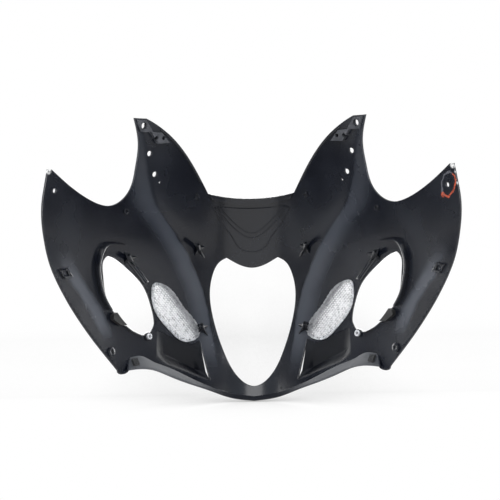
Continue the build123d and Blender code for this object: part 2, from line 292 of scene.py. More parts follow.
def finishMesh(obj, angle=32, bevel=0.0):
    pick(obj)
    editAll()
    bpy.ops.mesh.remove_doubles(threshold=tools["weld"] * mm)
    bpy.ops.mesh.normals_make_consistent(inside=False)
    bpy.ops.object.mode_set(mode="OBJECT")
    if bevel:
        mod = obj.modifiers.new("edge", "BEVEL")
        mod.width = bevel * mm
        mod.segments = tools["bevelSteps"]
        mod.limit_method = "ANGLE"
        mod.angle_limit = math.radians(tools["bevelFrom"])
        mod.harden_normals = False
        bpy.ops.object.modifier_apply(modifier=mod.name)
    bpy.ops.object.shade_smooth_by_angle(angle=math.radians(angle))
    deselect()
    return obj


def layOnSkin(obj, inner, outer):  # from the drawing plane onto the curved wall
    for v in obj.data.vertices:
        x, z, t = v.co
        v.co = onSkin(x, z, inner + (outer - inner) * t)
    obj.data.update()


def skinPiece(name, outline, holes, inner, outer, pitch, bevel):
    obj = flatSlab(name, boxRound(outline, 2), pitch)
    cutWith(obj, cutter(outline), "INTERSECT")
    for group in holes:  # openings that touch each other are cut one after the other
        cutWith(obj, joined([cutter(gap) for gap in group], "gaps"), "DIFFERENCE")
    layOnSkin(obj, inner, outer)
    return finishMesh(obj, bevel=bevel)


def block(name, cuts, across=1):  # a bar along u, across v, one thick in w, ready to be laid along a line
    deselect()
    bpy.ops.mesh.primitive_grid_add(x_subdivisions=cuts, y_subdivisions=across, size=1)
    obj = bpy.context.object
    obj.name = name
    editAll()
    bpy.ops.transform.translate(value=(0.5, 0.5, 0))
    extrude((0, 0, 1))
    deselect()
    return obj


def onLine(line, u):  # place and heading at a share u of a sampled line
    s = min(max(u, 0.0), 1.0) * (len(line) - 1)
    k = min(int(s), len(line) - 2)
    a, b = line[k], line[k + 1]
    before = line[max(k - 1, 0)]
    after = line[min(k + 2, len(line) - 1)]
    way = (b - before).lerp(after - a, s - k)
    return a.lerp(b, s - k), way.normalized()


def ribbon(name, points, width, height, bevel):  # a ridge along a line on the skin
    line = smoothLine(points)
    obj = block(name, len(line) - 1)
    for v in obj.data.vertices:
        u, side, top = v.co
        place, way = onLine(line, u)
        half = width / 2 - (tools["ridgeDraft"] if top > 0.5 else 0)
        place = place + Vector((-way.y, way.x)) * half * (2 * side - 1)
        v.co = onSkin(place.x, place.y, -height if top > 0.5 else tools["ridgeRoot"])
    return finishMesh(obj, bevel=bevel, angle=40)


def onBothSides(obj, leftName):  # the left-hand twin, a mesh of its own
    pick(obj)
    bpy.ops.object.duplicate()
    twin = bpy.context.object
    twin.name = leftName
    for v in twin.data.vertices:
        v.co.x = -v.co.x
    twin.data.update()
    pick(twin)
    editAll()
    bpy.ops.mesh.flip_normals()
    deselect()
    return twin


def settle(point, way, depth):  # slides a point along its way until it is that deep in the wall
    for _ in range(12):
        target = skinY(point.x, point.z) + depth
        point = point + way * ((target - point.y) / way.y)
    return point


def keep(obj, material):  # a finished piece of the fairing
    obj.data.materials.clear()
    obj.data.materials.append(material)
    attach(obj, "root")
    return obj


def keepBoth(obj, name, material):  # the right-hand piece and its twin
    obj.name = name + "Right"
    keep(obj, material)
    keep(onBothSides(obj, name + "Left"), material)


# shared shader effects

def fed(tree, node, settings):  # each input gets its value, or a link where that is another node's output
    for label, value in settings.items():
        if isinstance(value, bpy.types.NodeSocket):
            tree.links.new(value, node.inputs[label])
        else:
            node.inputs[label].default_value = value
    return node


def added(tree, kind, settings):
    return fed(tree, tree.nodes.new("ShaderNode" + kind), settings)


def calc(tree, operation, *values):
    node = added(tree, "Math", dict(enumerate(values)))
    node.operation = operation
    return node.outputs["Value"]


def newGroup(name, inputs, output):
    group = bpy.data.node_groups.new(name, "ShaderNodeTree")
    for label, kind, value in inputs:
        socket = group.interface.new_socket(name=label, in_out="INPUT", socket_type=kind)
        if value is not None:
            socket.default_value = value
    group.interface.new_socket(name=output, in_out="OUTPUT", socket_type="NodeSocketFloat")
    return group, group.nodes.new("NodeGroupInput").outputs, group.nodes.new("NodeGroupOutput")


def softBreakup():  # slow blotches, for dust, haze and uneven gloss
    inputs = [("Vector", "NodeSocketVector", None), ("Scale", "NodeSocketFloat", 20.0),
              ("Low", "NodeSocketFloat", 0.4), ("High", "NodeSocketFloat", 0.7)]
    group, given, result = newGroup("softBreakup", inputs, "Mask")
    noise = added(group, "TexNoise", {"Vector": given["Vector"], "Scale": given["Scale"], "Detail": 5})
    spread = {"Value": noise.outputs["Fac"], "From Min": given["Low"], "From Max": given["High"]}
    fed(group, result, {"Mask": added(group, "MapRange", spread).outputs["Result"]})
    return group


def fineGrain():  # height of a moulded or blasted surface: a fine grain on a slow wave
    inputs = [("Vector", "NodeSocketVector", None), ("Scale", "NodeSocketFloat", 900.0),
              ("Wave", "NodeSocketFloat", 40.0)]
    group, given, result = newGroup("fineGrain", inputs, "Height")
    fine = added(group, "TexNoise", {"Vector": given["Vector"], "Scale": given["Scale"], "Detail": 2})
    slow = added(group, "TexNoise", {"Vector": given["Vector"], "Scale": given["Wave"], "Detail": 1})
    share = 0.25  # the grain's share beside the wave
    height = calc(group, "MULTIPLY_ADD", fine.outputs["Fac"], share, slow.outputs["Fac"])
    fed(group, result, {"Height": height})
    return group


breakupGroup = softBreakup()
grainGroup = fineGrain()


# short forms for the nodes that the materials are built from

def times(tree, first, second):
    return calc(tree, "MULTIPLY", first, second)


def plus(tree, first, second):
    return calc(tree, "ADD", first, second)


def minus(tree, first, second):
    return calc(tree, "SUBTRACT", first, second)


def ramped(tree, value, low, high, smooth=True):  # 0 at low, 1 at high
    ramp = added(tree, "MapRange", {"Value": value, "From Min": low, "From Max": high})
    ramp.interpolation_type = "SMOOTHSTEP" if smooth else "LINEAR"
    return ramp.outputs["Result"]


def parted(tree, vector):
    return added(tree, "SeparateXYZ", {"Vector": vector})


def painted(tree, under, mask, colour):  # a colour laid over another colour or socket where the mask is 1
    mix = tree.nodes.new("ShaderNodeMix")
    mix.data_type = "RGBA"
    below = (*under, 1) if isinstance(under, tuple) else under
    return fed(tree, mix, {"Factor": mask, "A": below, "B": (*colour, 1)}).outputs["Result"]


def grouped(tree, group, settings):
    node = tree.nodes.new("ShaderNodeGroup")
    node.node_tree = group
    return fed(tree, node, settings).outputs[0]


def blotches(tree, coords, scale, low, high):
    place = coords.outputs["Object"]
    return grouped(tree, breakupGroup, {"Vector": place, "Scale": scale, "Low": low, "High": high})


def wander(tree, coords, scale, detail):  # noise about zero
    noise = added(tree, "TexNoise", {"Vector": coords.outputs["Object"], "Scale": scale, "Detail": detail})
    return minus(tree, noise.outputs["Fac"], 0.5)


def spot(tree, coords, place, reach):  # 0 from reach outwards, 1 in the inner six tenths of it
    gone = added(tree, "VectorMath", {0: coords.outputs["Object"], 1: place})
    gone.operation = "DISTANCE"
    return ramped(tree, gone.outputs["Value"], reach, reach * 0.6, smooth=False)


finishForm = {"haze": (0.42, 0.72), "grainDepth": 0.4}


def surface(name, look):  # one finish: hazy colour, uneven gloss and a fine grain
    mat = bpy.data.materials.new(name)
    mat.use_nodes = True
    tree = mat.node_tree
    coords = tree.nodes.new("ShaderNodeTexCoord")
    haze = blotches(tree, coords, look["hazeScale"], *finishForm["haze"])
    tint = painted(tree, look["colour"], haze, look["hazeColour"])
    least, most = look["rough"]
    rough = added(tree, "MapRange", {"Value": haze, "To Min": least, "To Max": most})
    grain = {"Vector": coords.outputs["Object"], "Scale": look["grainScale"], "Wave": look["waveScale"]}
    bump = added(tree, "Bump", {"Strength": look["bump"], "Distance": finishForm["grainDepth"] * mm,
                                "Height": grouped(tree, grainGroup, grain)})
    shader = fed(tree, tree.nodes["Principled BSDF"], {
        "Base Color": tint, "Roughness": rough.outputs["Result"], "Normal": bump.outputs["Normal"],
        "Metallic": look.get("metal", 0.0), "Specular IOR Level": look.get("specular", 0.5),
        "Coat Weight": look.get("coat", 0.0), "Coat Roughness": look.get("coatRough", 0.05),
    })
    return mat, tree, shader, coords, tint


# the moulding's own finish, with painted highlight streaks beside the folds, the crayon ring and pale spots
# at the wing tips

glossBlack = {
    "colour": (0.004, 0.005, 0.009), "hazeColour": (0.008, 0.010, 0.016), "hazeScale": 9,
    "rough": (0.22, 0.32), "grainScale": 700, "waveScale": 26, "bump": 0.08,
    "coat": 0.12, "coatRough": 0.08,
}
foldSheenBands = {  # painted highlight streaks, a sheen beside the two folds; each starts, fills, thins and ends at four places
    "browLine": {"reach": (-3, 3, 8, 40), "heights": (-235, -150, -20, 190), "share": 0.85, "high": 0.22},
    "foldLine": {"reach": (-17, -8, -3, 5), "heights": (-150, -110, -50, 10), "share": 1.0, "high": 0.0},
    "colour": (0.070, 0.076, 0.090), "drift": 6, "driftScale": 30, "driftDetail": 2,
    "low": -240, "top": 240, "pitch": 40, "widest": 400,
}
crayonRing = {  # drawn by hand round the hole in the right wing
    "middle": (288, 91.5), "half": (6.8, 17.5), "band": 0.13, "loose": 0.5, "shake": (110, 3),
    "orange": (0.56, 0.10, 0.045), "scratch": (0.20, 0.20, 0.22), "scratchShare": 0.5,
    "lean": 0.55, "turnsOrange": (-0.15, 0.25), "blob": (283.2, 77.5), "blobReach": 4.8,
    "missed": (330, 0.34, 0.50),
}
# pale spots at both wing tips and along the outer wing edge near the tip
paleSpots = {
    "tip": (291.0, 118.5), "tipReach": 5.8, "colour": (0.86, 0.84, 0.80),
    "edge": [(294.5, 108), (297, 92)], "edgeReach": 3.0, "edgeShare": 0.5,
}
innerFace = (-0.05, 0.10)  # how far a face turns to the rider's side before it counts as the inner one


def banded(tree, value, band, last=0.0):  # rises from starts to fills, falls to last from thins to ends
    starts, fills, thins, ends = [v * mm for v in band]
    fall = times(tree, ramped(tree, value, thins, ends), 1 - last)
    return times(tree, ramped(tree, value, starts, fills), minus(tree, 1.0, fall))


# painted highlight: a lighter band of colour along one fold, standing in for its sheen
def sheenBandMask(tree, split, drift, line, band):
    h = foldSheenBands
    span = h["top"] - h["low"]
    curve = tree.nodes.new("ShaderNodeFloatCurve")  # gives the fold line's x at each height
    points = curve.mapping.curves[0].points
    heights = [h["low"] + h["pitch"] * k for k in range(span // h["pitch"] + 1)]
    while len(points) < len(heights):
        points.new(0.5, 0.5)
    for point, height in zip(points, heights):
        point.location = ((height - h["low"]) / span, follow(line, height)[0] / h["widest"])
    curve.mapping.update()
    z = split.outputs["Z"]
    share = calc(tree, "DIVIDE", minus(tree, z, h["low"] * mm), span * mm)
    tree.links.new(share, curve.inputs["Value"])
    lineX = times(tree, curve.outputs["Value"], h["widest"] * mm)
    away = minus(tree, calc(tree, "ABSOLUTE", split.outputs["X"]), lineX)
    away = plus(tree, away, times(tree, drift, h["drift"] * mm))
    across = banded(tree, away, band["reach"])
    upwards = banded(tree, z, band["heights"], band["high"])
    return times(tree, times(tree, across, upwards), band["share"])


def crayonMasks(tree, coords, split, missed):  # orange outside and below, only scratched on the inner side
    c = crayonRing
    loose = wander(tree, coords, *c["shake"])
    across = minus(tree, split.outputs["X"], c["middle"][0] * mm)
    across = calc(tree, "DIVIDE", across, c["half"][0] * mm)
    along = minus(tree, split.outputs["Z"], c["middle"][1] * mm)
    along = calc(tree, "DIVIDE", along, c["half"][1] * mm)
    square = plus(tree, times(tree, across, across), times(tree, along, along))
    reach = plus(tree, calc(tree, "SQRT", square), times(tree, loose, c["loose"]))
    off = calc(tree, "ABSOLUTE", minus(tree, reach, 1.0))
    band = ramped(tree, off, c["band"], c["band"] * 0.5, smooth=False)
    lean = minus(tree, across, times(tree, along, c["lean"]))
    outer = ramped(tree, lean, *c["turnsOrange"], smooth=False)
    orange = times(tree, times(tree, band, outer), missed)
    blob = times(tree, spot(tree, coords, onSkin(*c["blob"]), c["blobReach"] * mm), missed)
    scratch = times(tree, times(tree, band, minus(tree, 1.0, outer)), c["scratchShare"])
    return calc(tree, "MAXIMUM", orange, blob), scratch


def shellSurface():
    mat, tree, shader, coords, colour = surface("mouldedGlossBlack", glossBlack)
    split = parted(tree, coords.outputs["Object"])
    missed = blotches(tree, coords, *crayonRing["missed"])  # low spots that the crayon and the pale tip spots leave out
    orange, scratch = crayonMasks(tree, coords, split, missed)
    drift = wander(tree, coords, foldSheenBands["driftScale"], foldSheenBands["driftDetail"])
    # painted highlight beside the brow and fold lines
    paintedSheen = [sheenBandMask(tree, split, drift, skinForm[name], foldSheenBands[name])
               for name in ("browLine", "foldLine")]
    turned = parted(tree, coords.outputs["Normal"])
    inside = ramped(tree, times(tree, turned.outputs["Y"], -1.0), *innerFace)
    layers = [(calc(tree, "MAXIMUM", *paintedSheen), foldSheenBands["colour"]), (scratch, crayonRing["scratch"]),
              (orange, crayonRing["orange"])]
    for mask, paint in layers:
        colour = painted(tree, colour, times(tree, mask, inside), paint)
    x, y, z = onSkin(*paleSpots["tip"])
    # pale spots at both wing tips
    for side in (1, -1):
        tipSpot = times(tree, spot(tree, coords, (x * side, y, z), paleSpots["tipReach"] * mm), missed)
        colour = painted(tree, colour, tipSpot, paleSpots["colour"])
    # paler spots along the wing's outer edge
    for place in paleSpots["edge"]:
        paleEdge = times(tree, spot(tree, coords, onSkin(*place), paleSpots["edgeReach"] * mm), paleSpots["edgeShare"])
        colour = painted(tree, colour, paleEdge, paleSpots["colour"])
    fed(tree, shader, {"Base Color": colour})
    return mat


flangeGrey = dict(glossBlack, rough=(0.38, 0.50), coat=0.0, specular=0.25)
# painted highlight: greyer colour towards the flange's outer ends, where light from above catches it
flangeEndHighlight = {"from": 30, "to": 150, "share": 0.9, "colour": (0.075, 0.078, 0.085)}


def flangeSurface():  # duller than the skin, with a painted highlight that greys the flange towards its outer ends
    mat, tree, shader, coords, tint = surface("flangeGrey", flangeGrey)
    split = parted(tree, coords.outputs["Object"])
    # painted highlight, greyer with distance from the middle
    out = calc(tree, "ABSOLUTE", split.outputs["X"])
    out = ramped(tree, out, flangeEndHighlight["from"] * mm, flangeEndHighlight["to"] * mm)
    colour = painted(tree, tint, times(tree, out, flangeEndHighlight["share"]), flangeEndHighlight["colour"])
    fed(tree, shader, {"Base Color": colour})
    return mat


brightWire = {
    "colour": (0.88, 0.88, 0.89), "hazeColour": (0.38, 0.38, 0.39), "hazeScale": 170,
    "rough": (0.32, 0.48), "grainScale": 1500, "waveScale": 200, "bump": 0.15, "metal": 0.55,
}
# painted shade: the wire is drawn darker towards the nose side
wirePaintedShade = {"across": (-0.864, 0.504), "from": -180, "to": -164, "share": 0.65,
                 "colour": (0.20, 0.20, 0.21)}


def wireSurface():  # painted shade greys the wire towards the nose side, where the twisted strands lie closed; bright on the outer side
    mat, tree, shader, coords, tint = surface("brightWire", brightWire)
    c = wirePaintedShade
    split = parted(tree, coords.outputs["Object"])
    # painted shade, darker towards the nose side
    side = times(tree, calc(tree, "ABSOLUTE", split.outputs["X"]), c["across"][0])
    side = plus(tree, side, times(tree, split.outputs["Z"], c["across"][1]))
    noseShade = ramped(tree, side, c["from"] * mm, c["to"] * mm)
    colour = painted(tree, tint, times(tree, noseShade, c["share"]), c["colour"])
    fed(tree, shader, {"Base Color": colour})
    return mat


plainFinishes = {
    "polishedEdge": {"colour": (0.005, 0.006, 0.010), "hazeColour": (0.010, 0.012, 0.017), "hazeScale": 30,
                     "rough": (0.10, 0.20), "grainScale": 700, "waveScale": 60, "bump": 0.05, "coat": 0.8},
    "dullBlack": {"colour": (0.004, 0.005, 0.008), "hazeColour": (0.009, 0.010, 0.014), "hazeScale": 20,
                  "rough": (0.42, 0.55), "grainScale": 700, "waveScale": 60, "bump": 0.1, "specular": 0.22},
    "greyBracket": {"colour": (0.055, 0.057, 0.063), "hazeColour": (0.10, 0.10, 0.11), "hazeScale": 50,
                    "rough": (0.28, 0.42), "grainScale": 1200, "waveScale": 90, "bump": 0.2},
    "brightSteel": {"colour": (0.92, 0.92, 0.93), "hazeColour": (0.75, 0.75, 0.76), "hazeScale": 120,
                    "rough": (0.3, 0.45), "grainScale": 1500, "waveScale": 200, "bump": 0.1, "metal": 0.6},
    "dullRubber": {"colour": (0.014, 0.014, 0.014), "hazeColour": (0.035, 0.033, 0.03), "hazeScale": 80,
                   "rough": (0.6, 0.85), "grainScale": 1100, "waveScale": 120, "bump": 0.5},
    "openFoam": {"colour": (0.02, 0.02, 0.021), "hazeColour": (0.05, 0.05, 0.05), "hazeScale": 300,
                 "rough": (0.85, 0.98), "grainScale": 900, "waveScale": 500, "bump": 1.0},
}

shellMat = shellSurface()
flangeMat = flangeSurface()
wireMat = wireSurface()
finish = {name: surface(name, look)[0] for name, look in plainFinishes.items()}
print("materials made")


# outlines in the drawing plane, right-hand side, millimetres

shellPlan = {
    "screenLow": 94,
    "armInner": [(77, 102), (106, 159), (134, 195), (169, 218)],
    "armOuter": [(186, 216), (182, 179), (188, 137), (201, 95), (226, 74), (257, 87), (288, 121)],
    "wing": [(291.5, 120.5), (295.5, 98), (299.5, 74), (301.5, 35), (297, -13), (275, -89), (250, -144),
             (222, -193)],
    "lobe": (213, -201), "lobeEnd": (207, -190),
    "fold": [(206, -176), (193, -176), (176, -187), (153, -201), (119, -223), (82, -245.5), (40, -263),
             (0, -270)],
    "edge": [(206, -195), (191, -196), (172, -201), (147, -216), (112, -236), (78, -253), (42, -269),
             (0, -276)],
    "lampTop": [(0, -33.5), (23, -28), (47.6, -14)],
    "lampFlank": [(47.6, -14), (60, -21), (73, -43), (79.6, -85), (74.6, -125), (55, -189), (31, -233),
                  (0, -252)],
    "sideOuter": [(233, -6), (240, -36), (237, -74), (224, -107), (200, -136), (182, -143), (171, -126)],
    "sideInner": [(171, -126), (176, -92), (184, -64), (208, -28), (233, -6)],
    "mesh": [(170, -54), (154, -60), (128, -98), (104, -134), (101, -156), (119, -164), (148, -142),
             (168, -112), (176, -76)],
    "meshSeat": 5, "foldCover": 2, "pitch": 3.0,
}


def arcThrough(a, b, c, count=20):  # from a to c by way of b
    a, b, c = Vector(a), Vector(b), Vector(c)
    d = 2 * (a.x * (b.y - c.y) + b.x * (c.y - a.y) + c.x * (a.y - b.y))
    squares = (a.length_squared, b.length_squared, c.length_squared)
    ux = sum(q * t for q, t in zip(squares, (b.y - c.y, c.y - a.y, a.y - b.y))) / d
    uz = sum(q * t for q, t in zip(squares, (c.x - b.x, a.x - c.x, b.x - a.x))) / d
    mid = Vector((ux, uz))
    start = math.atan2(a.y - uz, a.x - ux)
    turn = (math.atan2(c.y - uz, c.x - ux) - start) % (2 * math.pi)
    if (math.atan2(b.y - uz, b.x - ux) - start) % (2 * math.pi) > turn:
        turn -= 2 * math.pi
    r = (a - mid).length
    turns = [start + turn * k / count for k in range(count + 1)]
    return [mid + Vector((math.cos(t), math.sin(t))) * r for t in turns]


def shellOutline():
    p = shellPlan
    half = smoothLine(p["armInner"], (0.43, 0.9), (0.92, 0.4))
    half += smoothLine(p["armOuter"])
    half += smoothLine(p["wing"])[:-1]
    half += arcThrough(p["wing"][-1], p["lobe"], p["lobeEnd"], 8)
    fold = [(x, z - p["foldCover"]) for x, z in p["fold"]]
    half += smoothLine(fold, (-1, 0), (-1, 0))
    left = mirrored(half)[1:]
    x, z = p["armInner"][0]
    screen = arcThrough((-x, z), (0, p["screenLow"]), (x, z), 48)[1:-1]
    return half + left + screen


def lampOutline():
    p = shellPlan
    top = smoothLine(p["lampTop"], (1, 0), (0.9, 0.55))
    flank = smoothLine(p["lampFlank"], (0.85, -0.35), (-1, 0))
    half = top[:-1] + flank
    return half + mirrored(half)[1:-1]


def sideOutline():
    outer = smoothLine(shellPlan["sideOuter"], (0.75, -0.6), (-0.2, 1))
    inner = smoothLine(shellPlan["sideInner"], (0, 1), (0.85, 0.3))
    return outer[:-1] + inner[:-1]


def grown(outline, by):  # the outline moved inwards (by below 0) or outwards
    area = sum(a[0] * b[1] - b[0] * a[1] for a, b in zip(outline, outline[1:] + outline[:1]))
    sign = 1 if area > 0 else -1
    out = []
    n = len(outline)
    for i in range(n):
        way = (outline[(i + 1) % n] - outline[i - 1]).normalized()
        out.append(outline[i] + Vector((way.y, -way.x)) * by * sign)
    return out


def hole(place, radius, count=20):  # a round hole square to the skin, as it shows in the drawing plane
    n = skinNormal(*place)
    a = Vector((n.y, -n.x, 0)).normalized()
    b = n.cross(a)
    turns = [2 * math.pi * k / count for k in range(count)]
    ring = [a * math.cos(turn) + b * math.sin(turn) for turn in turns]
    return [Vector((place[0] + radius * r.x, place[1] + radius * r.z)) for r in ring]


# trough, flange and skin

troughPlan = {  # each station: upper edge, crease, lower edge, and how deep the crease lies
    "stations": [((98, -163), (87, -220), (80, -236), 0.8), ((112, -170), (97, -212), (91, -231), 18.0),
                 ((160, -143), (150, -179), (150, -199), 13.0),
                 ((168, -138), (168, -166), (168, -183), 1.0)],
    "wall": 2.6, "bevel": 0.9,
}


def troughMouth():
    s = troughPlan["stations"]
    return [Vector(p[0]) for p in s] + [Vector(p[2]) for p in reversed(s)]


def both(outline):
    return [outline, mirrored(outline)]


holePlan = {  # single: pilot under the arm's holes, wing hole, low ring's hole
    "single": [((155, 117), 1.8), ((287, 91), 3.6), ((232, -162), 3.0)],
    "arm": [(175, 206), (168, 163), (162, 130)], "armRadius": 4.5,
}
holes = holePlan["single"] + [(place, holePlan["armRadius"]) for place in holePlan["arm"]]
roundGaps = [ring for place, radius in holes for ring in both(hole(place, radius))]
meshMouth = grown(closedLine(shellPlan["mesh"]), -shellPlan["meshSeat"])
gaps = [[lampOutline()] + both(sideOutline()), both(meshMouth), both(troughMouth()), roundGaps]

cowlSkin = skinPiece("cowlSkin", shellOutline(), gaps, 0, skinForm["wall"], shellPlan["pitch"], bevel=0.6)
keep(cowlSkin, shellMat)
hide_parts("cowl_shell")
print("skin made", len(cowlSkin.data.polygons))


def troughPiece():
    s = troughPlan["stations"]
    obj = block("trough", 24, 8)
    for v in obj.data.vertices:
        u, side, out = v.co
        k = min(int(u * 3), 2)
        t = u * 3 - k
        upper, crease, lower = [Vector(p).lerp(Vector(q), t) for p, q in zip(s[k][:3], s[k + 1][:3])]
        depth = s[k][3] + (s[k + 1][3] - s[k][3]) * t
        wall = troughPlan["wall"] * out
        low = onSkin(*crease, depth + wall)
        if side <= 0.5:
            v.co = onSkin(*upper, wall).lerp(low, side * 2)
        else:
            v.co = low.lerp(onSkin(*lower, wall), side * 2 - 1)
    return finishMesh(obj, bevel=troughPlan["bevel"], angle=28)


keepBoth(troughPiece(), "trough", finish["dullBlack"])

flangePlan = {"lap": 1.2, "bevel": 0.7, "endLap": 1.5, "endWall": 3.0, "endBevel": 0.5}


def freeCorner(fold, edge):  # a place on the fold, and the place on the free edge that belongs to it
    top = onSkin(*fold) / mm
    run = math.hypot(edge[0] - fold[0], edge[1] - fold[1])
    return top, Vector((edge[0], top.y - run, edge[1]))


def wholeWidth(half):  # from the left end over the middle to the right end
    return [Vector((-q.x, q.y)) for q in half] + half[::-1][1:]


def flangePiece():
    fold = smoothLine(shellPlan["fold"])
    foldLine = wholeWidth(fold)
    edgeLine = wholeWidth(smoothLine(shellPlan["edge"]))
    obj = block("returnFlange", 2 * (len(fold) - 1), 4)
    for v in obj.data.vertices:
        u, down, out = v.co
        f, _ = onLine(foldLine, u)
        e, _ = onLine(edgeLine, u)
        top, free = freeCorner(f, e)
        way = (free - top).normalized()
        side = skinNormal(f.x, f.y)
        side = (side - way * side.dot(way)).normalized()
        start = top - way * flangePlan["lap"]
        v.co = (start.lerp(free, down) + side * skinForm["wall"] * out) * mm
    return finishMesh(obj, bevel=flangePlan["bevel"])


keep(flangePiece(), flangeMat)


def endWall():  # upright plate that closes the outer end of the flange
    fold = shellPlan["fold"][0]
    edge = shellPlan["edge"][0]
    lap = flangePlan["endLap"]
    corners = [onSkin(fold[0], fold[1] + lap, lap) / mm, freeCorner(fold, edge)[1], onSkin(*edge, lap) / mm]
    deselect()
    bpy.ops.mesh.primitive_circle_add(vertices=3, radius=1, fill_type="NGON")
    obj = bpy.context.object
    for v, c in zip(obj.data.vertices, corners):
        v.co = c * mm
    editAll()
    extrude((flangePlan["endWall"] * mm, 0, 0))
    deselect()
    return finishMesh(obj, bevel=flangePlan["endBevel"])


keepBoth(endWall(), "flangeEnd", shellMat)
print("trough and flange made")


# raised lines and seats

linePlan = {
    "rim": {"points": [(213, 13), (225, 15), (235, 13), (243, 0), (248, -24), (247, -48), (243, -72),
                       (235, -94)], "width": 2.8, "height": 9.0, "bevel": 1.1},
    "rail": {"points": [(207, -11), (194, -33), (183, -53)], "width": 7.5, "height": 2.5, "bevel": 0.7},
    "edgeLip": {"points": [(215, -123), (205, -134), (192, -143)], "width": 2.2, "height": 3.5,
                "bevel": 0.5},
    "armLip": {"points": [(89, 121), (108, 157), (134, 190), (150, 203)], "width": 2.4, "height": 2.5,
               "bevel": 0.6},
}
for name, line in linePlan.items():
    keepBoth(ribbon(name, **line), name, finish["polishedEdge"])

seatPlan = {  # three steps on which the screen sits, each with a bead along its lower edge
    "step": 1.0, "root": 1.5, "sag": 3.0, "bead": 2.4, "beadHeight": 0.9, "beadBevel": 0.8,
    "lip": [(-75, 101), (0, 93), (75, 101)], "lipFoot": [(72, 92), (0, 84), (-72, 92)],
    "lipHeight": 3.4, "lipBevel": 0.7, "bevel": 0.5, "pitch": 4.0,
    "tongue": [(0, -3), (17, 0), (27, 8), (36, 24), (48, 40), (70, 78)],
    "lower": [(0, 23), (33, 41), (65, 79)],
    "upper": [(0, 32), (31, 49), (60, 80)],
}


def seatStep(name, number):
    s = seatPlan
    arc = [(-x, z) for x, z in reversed(s[name][1:])] + s[name]
    x, z = arc[-1]
    outline = smoothLine(arc)[:-1] + arcThrough((x, z), (0, z - s["sag"]), (-x, z), 36)[:-1]
    height = s["step"] * number
    title = name.capitalize()
    step = skinPiece("screenSeat" + title, outline, [], s["root"], -height, s["pitch"], s["bevel"])
    keep(step, shellMat)
    bead = ribbon("seatBead" + title, arc, s["bead"], height + s["beadHeight"], s["beadBevel"])
    keep(bead, shellMat)


def screenLip():
    s = seatPlan
    outline = arcThrough(*s["lip"], 40) + arcThrough(*s["lipFoot"], 40)
    return skinPiece("screenLip", outline, [], s["root"], -s["lipHeight"], s["pitch"], s["lipBevel"])


for number, name in enumerate(("tongue", "lower", "upper"), start=1):
    seatStep(name, number)
keep(screenLip(), shellMat)
print("raised lines and seats made")


# posts and bosses

postPlan = {
    "places": {"postUpper": ((96, 0), 34), "postLower": ((93, -145), 34), "postSide": ((203, -14), 26)},
    "lean": 20, "radius": 4.3, "tip": 4.1, "bore": 1.6, "boreDepth": 14, "root": 1.6, "bevel": 0.35,
    "ribTurns": (45, 135), "ribReach": 13.6, "ribTop": 3.6, "ribHeight": 13, "ribThick": 2.4,
}


def crossRib(turn):  # one of a post's two gussets, wide at its foot
    p = postPlan
    bpy.ops.mesh.primitive_cube_add(size=1)
    rib = bpy.context.object
    cos = math.cos(math.radians(turn))
    sin = math.sin(math.radians(turn))
    for v in rib.data.vertices:
        up = v.co.z > 0
        along = math.copysign(p["ribTop"] if up else p["ribReach"], v.co.x)
        aside = v.co.y * p["ribThick"]
        height = p["ribHeight"] if up else 0
        v.co = Vector((along * cos - aside * sin, along * sin + aside * cos, height)) * mm
    return rib


def postPiece(name, place, length):
    p = postPlan
    tilt = math.radians(90 - p["lean"])
    way = Vector((0, -math.sin(tilt), math.cos(tilt)))
    base = onSkin(*place) / mm
    deselect()
    bpy.ops.mesh.primitive_cone_add(vertices=32, radius1=p["radius"] * mm, radius2=p["tip"] * mm,
                                    depth=length * mm)
    post = bpy.context.object
    editAll()
    bpy.ops.transform.translate(value=(0, 0, length / 2 * mm))
    chooseTop(post)
    bpy.ops.mesh.inset(thickness=(p["tip"] - p["bore"]) * mm)
    extrude((0, 0, -p["boreDepth"] * mm))
    deselect()
    obj = joined([post] + [crossRib(turn) for turn in p["ribTurns"]], name)
    side = way.cross(Vector((1, 0, 0)))
    for v in obj.data.vertices:
        low = abs(v.co.z) < 1e-6
        x, y, z = v.co / mm
        point = base + Vector((1, 0, 0)) * x - side * y + way * z
        if low:
            point = settle(point, way, p["root"])
        v.co = point * mm
    return finishMesh(obj, bevel=p["bevel"], angle=35)


for name, (place, length) in postPlan["places"].items():
    keepBoth(postPiece(name, place, length), name, finish["dullBlack"])

bossPlan = {
    "places": {  # place, radius, bore, height, and whether the bore goes through
        "screenRing": ((97, 97), 5.0, 2.6, 3.0, False), "notchRing": ((206, 67), 5.0, 2.6, 3.0, False),
        "lowRing": ((232, -162), 7.5, 3.0, 3.0, True), "collarBoss": ((182, -146), 7.0, 1.6, 3.0, False),
        "chinPip": ((49, -254), 1.6, 0.5, 2.2, False),
    },
    "root": 1.5, "deep": 0.9, "bevel": 0.5,
}


def bossPiece(name, place, radius, bore, height, through):
    p = bossPlan
    n = skinNormal(*place)
    base = onSkin(*place) / mm
    deselect()
    bpy.ops.mesh.primitive_cylinder_add(vertices=40, radius=radius * mm, depth=height * mm)
    obj = bpy.context.object
    obj.name = name
    if through:  # open to the hole in the skin below it
        bpy.ops.mesh.primitive_cylinder_add(vertices=40, radius=bore * mm, depth=height * 2 * mm)
        cutWith(obj, bpy.context.object, "DIFFERENCE")
    else:
        chooseTop(obj)
        bpy.ops.mesh.inset(thickness=(radius - bore) * mm)
        extrude((0, 0, -height * p["deep"] * mm))
        deselect()
    a = Vector((n.y, -n.x, 0)).normalized()
    b = a.cross(n)
    for v in obj.data.vertices:
        x, y, z = v.co / mm
        z += height / 2
        root = p["root"] if z < 0.01 else 0
        v.co = (base + a * x + b * y - n * (z - root)) * mm
    return finishMesh(obj, bevel=p["bevel"], angle=35)


